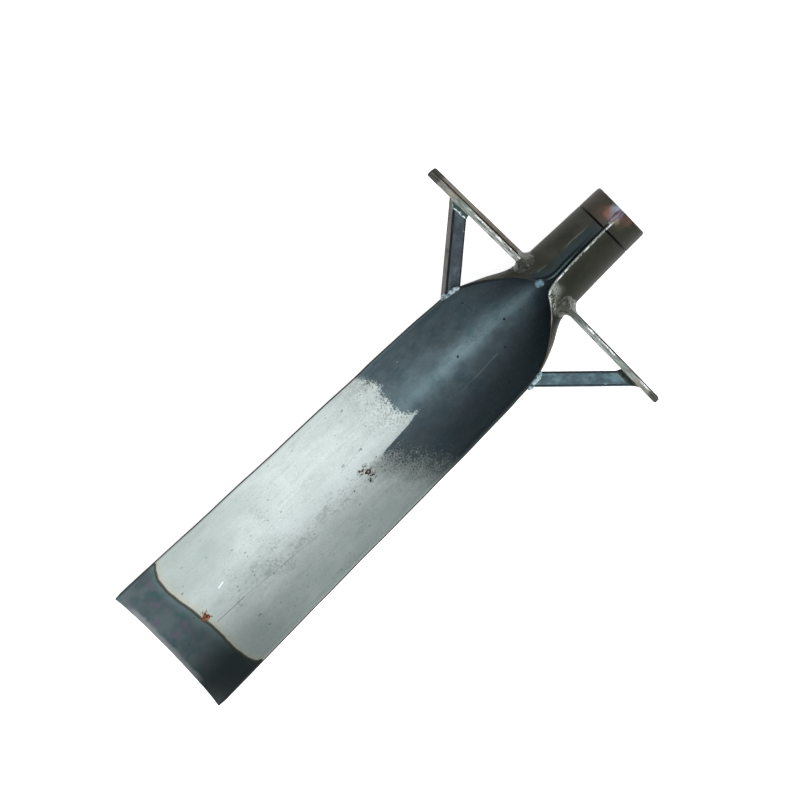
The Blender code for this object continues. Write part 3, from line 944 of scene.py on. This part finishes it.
def brace_finish(side, shade, light, streaked):
    """Square brace: blue-grey scale on top, a brown-grey outer side, dark edges and rubbed streaks."""
    s = Surface(side + "_brace_steel", 0.10, 0.08)
    along, around, _ = s.parts("place")
    fine, patch, streaks = bar_patterns(s, 1.3, 8, 2.0, 6)
    body = s.mix((patch * 1.8 + 0.5).rise(0.2, 0.8), shade, light)
    body.coat((streaks + patch).rise(0.05, 0.4) * streaked, "5d5a50")
    side_face = span(around, 0.5, BRACE_SIDE - 0.2, 0.4)
    body.coat(side_face * 0.9, s.mix((patch * 1.6 + 0.5).rise(0.2, 0.8), "4d4d47", "6c6861"))
    for corner in (BRACE_SIDE + 0.8, 2 * BRACE_SIDE - 0.2):
        body.coat(span(around, corner - 1.1, corner + 1.1, 0.3) * patch.rise(-0.4, 0.0) * 0.9, "15191a")
    body.coat(blot(along, around, (39.0, BRACE_SIDE * 0.65), 2.4, fine) * 0.9, "25221f")
    body.coat(s.spots(6, 0.10, 0.4) * 0.7, "1b1e20")
    body.coat(s.spots(11, 0.08, 0.4) * 0.6, "8d9698")
    return bar_finished(s, body, fine, patch)


def weld_finish(name, low, high, tint, glints, painted_shading_bands=None):
    """Weld metal: mottled between two tones, tinted by heat, with bright glints and black glass, and bands of
    painted shade and highlight across a fillet when given.
    """
    s = Surface(name, 0.35, 0.35)
    fine, patch, wide = s.noise(0.8, 2), s.noise(2.6, 3, 0.6), s.noise(6, 2)
    body = s.mix((patch * 1.8 + 0.5).rise(0.2, 0.8), low, high)
    body.coat(wide.rise(-0.05, 0.25) * 0.7, tint)
    body.coat(s.spots(2.8, 0.18, glints) * 0.85, "dfe6e5")
    body.coat(s.spots(3.4, 0.14, 0.25) * 0.8, "171a1a")
    # Painted shading across a fillet: its middle painted dark as shade, and a band at its toe on the bar painted
    # as a highlight or as shade.
    if painted_shading_bands:
        towards_bar = s.number("towards_bar") + patch * 0.7
        body.coat(span(towards_bar, 0.22, 0.78, 0.08) * 0.9, painted_shading_bands[0])
        body.coat(towards_bar.rise(0.76, 0.86) * 0.85, painted_shading_bands[1])
    return s.finished(body, fine * 0.15 + 0.42, fine + patch, 0.12)


# ---- assembly


def add_steps_and_braces(step_steel, brace_steel, head_weld, root_weld, foot_weld):
    """Both foot steps and their braces, with the welds round their ends."""
    for (side, sign), seed in zip(SIDES.items(), (10, 20)):
        step, brace = step_bar(side), brace_bar(side)
        from_socket, to_rim = OnRoll(-step.along), OnRoll(-brace.along)
        to_step = OnPlane(brace.along, step.middle - step.a_axis * STEP_THICK / 2, -step.a_axis)

        half = (STEP_REACH - STEP_INNER) / 2
        starts = np.array([from_socket(place)[0] for place in step.outline()])
        ends = step.outline() + step.along * half
        make_bar(side + "_foot_step_bar", step, starts, ends, step_steel[side],
                 side + "_foot_step", seed, STEP_END_ROUND)
        arc = (3.0, STEP_WIDE + STEP_THICK + 15.0)
        make_collar(side + "_step_root_weld", step, from_socket, arc, (7.0, 8.5), 0.10, 0.05, root_weld,
                    [side + "_step_upper_weld", side + "_step_lower_weld"], seed + 1)

        starts = np.array([to_rim(place)[0] for place in brace.outline()])
        ends = np.array([to_step(place)[0] for place in brace.outline()])
        make_bar(side + "_brace_bar", brace, starts, ends, brace_steel[side],
                 side + "_brace", seed + 3)
        arc = (BRACE_SIDE * 0.62, 2 * BRACE_SIDE + BRACE_SIDE * 0.35)
        make_collar(side + "_brace_head_weld", brace, to_step, arc, (2.8, 7.0), 0.32, 0.12,
                    head_weld[side], [side + "_brace_step_weld"], seed + 5)

        path, lift = [], 0.6 if side == "left" else 2.0
        for along in np.linspace(-9.5, 8.0, 12):
            at = np.array(BRACE_AT_RIM[0] + along)
            radius, rim, _ = roll_at(at)
            path.append(roll_point(at, sign * (rim + 0.3 / radius), lift))
        make_bead(side + "_brace_foot_weld", path, (0, sign * 0.2, 1), 4.4, 1.7, foot_weld,
                  [side + "_brace_blade_weld"], seed + 7)


def add_seam_welds(mouth_weld, tack_weld):
    """The filler that closes the mouth end of the seam, and the tack at its throat."""
    mouth = [(at, 0.2 / ROLL_RADIUS[-1], 0.9) for at in np.linspace(MOUTH_WELD + 1.2, 498.6, 8)]
    throat = [(408.6, 0.21, -0.6), (410.9, 0.17, -0.6), (413.2, 0.14, -0.6), (415.5, 0.12, -0.6)]
    mouth, throat = (
        [roll_point(np.array(at), math.pi - right, out) for at, right, out in path] for path in (mouth, throat)
    )
    make_bead("socket_mouth_weld", mouth, (0, 0, 1), 3.2, 0.9, mouth_weld, ["socket_seam_weld"], 31, 2.2, 0.04)
    make_bead("socket_throat_tack", throat, (0, -0.2, 1), 6.0, 1.1, tack_weld, [], 33, 4.0, 0.0)


def add_spatter(dull_weld, bright_weld):
    """Drops of weld metal that stuck beside the joints: place from the tip, angle, distance out, and radius."""
    seeds = np.random.default_rng(7)
    dull, bright = [], [(432.0, math.pi + 0.11, 1.25, 0.9), (429.5, math.pi + 0.13, 1.25, 0.6)]
    for sign in SIDES.values():
        for _ in range(16):
            angle = sign * (math.pi / 2 + seeds.uniform(-0.3, 0.75))
            dull.append((STEP_AT + seeds.normal(0, 9), angle, SHEET / 2, seeds.uniform(0.25, 0.6)))
        for _ in range(6):
            angle = sign * (math.pi / 2 - seeds.uniform(0.06, 0.4))
            bright.append((BRACE_AT_RIM[0] + seeds.normal(0, 9), angle, -SHEET / 2, seeds.uniform(0.2, 0.45)))
    for name, drops, weld in (("dull_spatter", dull, dull_weld), ("bright_spatter", bright, bright_weld)):
        ball = bmesh.new()
        for along, angle, out, size in drops:
            at = Matrix.Translation(Vector(roll_point(np.array(along), angle, out)) * MM)
            bmesh.ops.create_icosphere(ball, subdivisions=2, radius=size * MM, matrix=at)
        ball.verts.ensure_lookup_table()
        points = np.array([v.co for v in ball.verts]) / MM
        faces = [[v.index for v in f.verts] for f in ball.faces]
        ball.free()
        make_piece(name, points, faces, weld, (), {"place": points})


def add_floor():
    """The photo's plain white ground, just under the object."""
    half = 6
    floor = bpy.data.meshes.new("floor")
    corners = [(-half, -half, 0), (half, -half, 0), (half, half, 0), (-half, half, 0)]
    floor.from_pydata(corners, [], [(0, 1, 2, 3)])
    obj = bpy.data.objects.new("floor", floor)
    obj.location.z = -0.0004
    link(obj)
    paint = bpy.data.materials.new("floor_paint")
    paint.use_nodes = True
    set_inputs(paint.node_tree.nodes["Principled BSDF"], {
        "Base Color": (0.93, 0.93, 0.93, 1), "Roughness": 0.9, "Specular IOR Level": 0.1,
        "Emission Color": (1, 1, 1, 1), "Emission Strength": 0.8,
    })
    floor.materials.append(paint)


def add_light(name, place, size, power, colour=(1, 1, 1)):
    """A rectangular lamp that faces the origin."""
    data = bpy.data.lights.new(name, "AREA")
    data.shape = "RECTANGLE"
    data.size, data.size_y = size
    data.energy = power
    data.color = colour
    obj = bpy.data.objects.new(name, data)
    obj.location = place
    obj.rotation_euler = (-Vector(place)).to_track_quat("-Z", "Y").to_euler()
    link(obj)
    return obj


def add_lights():
    """A soft studio: even surroundings, a key that mirrors nowhere, and a band that glints in the hollow."""
    world = bpy.data.worlds.new("studio")
    world.use_nodes = True
    set_inputs(world.node_tree.nodes["Background"], {"Color": (0.93, 0.97, 1.0, 1), "Strength": 0.45})
    bpy.context.scene.world = world
    bpy.context.scene.view_settings.view_transform = "Standard"
    add_light("key", (0.0, -1.45, 1.4), (2.0, 1.2), 40).visible_glossy = False
    add_light("band", (0.05, -0.54, 1.90), (1.4, 0.5), 7.5, (0.88, 0.97, 1.0))


def add_camera():
    """Straight down, four metres up, with the socket towards the picture's upper right."""
    data = bpy.data.cameras.new("camera")
    data.lens = 226.5
    data.sensor_width = 36
    data.clip_end = 20
    camera = bpy.data.objects.new("camera", data)
    camera.location = (0.0199, 0.0146, 4.0)
    camera.rotation_euler = (0, 0, -math.radians(44.2))
    link(camera)
    bpy.context.scene.camera = camera


dull_weld = weld_finish("dull_weld", "292a25", "595a52", "403f36", 0.12)
bright_weld = weld_finish("bright_weld", "3f535b", "b9cbd0", "5f8b98", 0.40)
tack_weld = weld_finish("tack_weld", "44565e", "688795", "4c6873", 0.0)
mouth_weld = weld_finish("mouth_weld", "5a4b49", "8d7a80", "6f7c8a", 0.1)
# Head welds: painted shade mid-fillet, with a painted highlight at the toe on the left and painted shade at the
# toe on the right; the right weld's tones are a darker copy, as painted shade.
head_weld = {
    "left": weld_finish("left_head_weld", "6f8079", "a9b8b0", "7f9990", 0.2, ("1c3532", "dbe9ea")),
    "right": weld_finish("right_head_weld", "2a302d", "59625e", "39443f", 0.1, ("1d2625", "364344")),
}
make_sheet(sheet_finish())
step_steel = {
    "left": step_finish(
        "left", ("68625a", "8a8379"), ("545855", "c3c4be"), painted_shade_width=8, worn_glint_spans=((3, 64),),
        head=(57, 76), dark_end=94,
    ),
    "right": step_finish(
        "right", ("20211c", "43423c"), ("626764", "b2b6b2"), painted_shade_width=14, worn_glint_spans=((24, 58), (84, 95)),
        head=(62, 80), dark_end=96,
    ),
}
brace_steel = {
    "left": brace_finish("left", "3e454b", "535d63", 0.35),
    "right": brace_finish("right", "46565c", "657e86", 0.6),
}
add_steps_and_braces(step_steel, brace_steel, head_weld, dull_weld, bright_weld)
add_seam_welds(mouth_weld, tack_weld)
add_spatter(dull_weld, bright_weld)
add_floor()
add_lights()
add_camera()
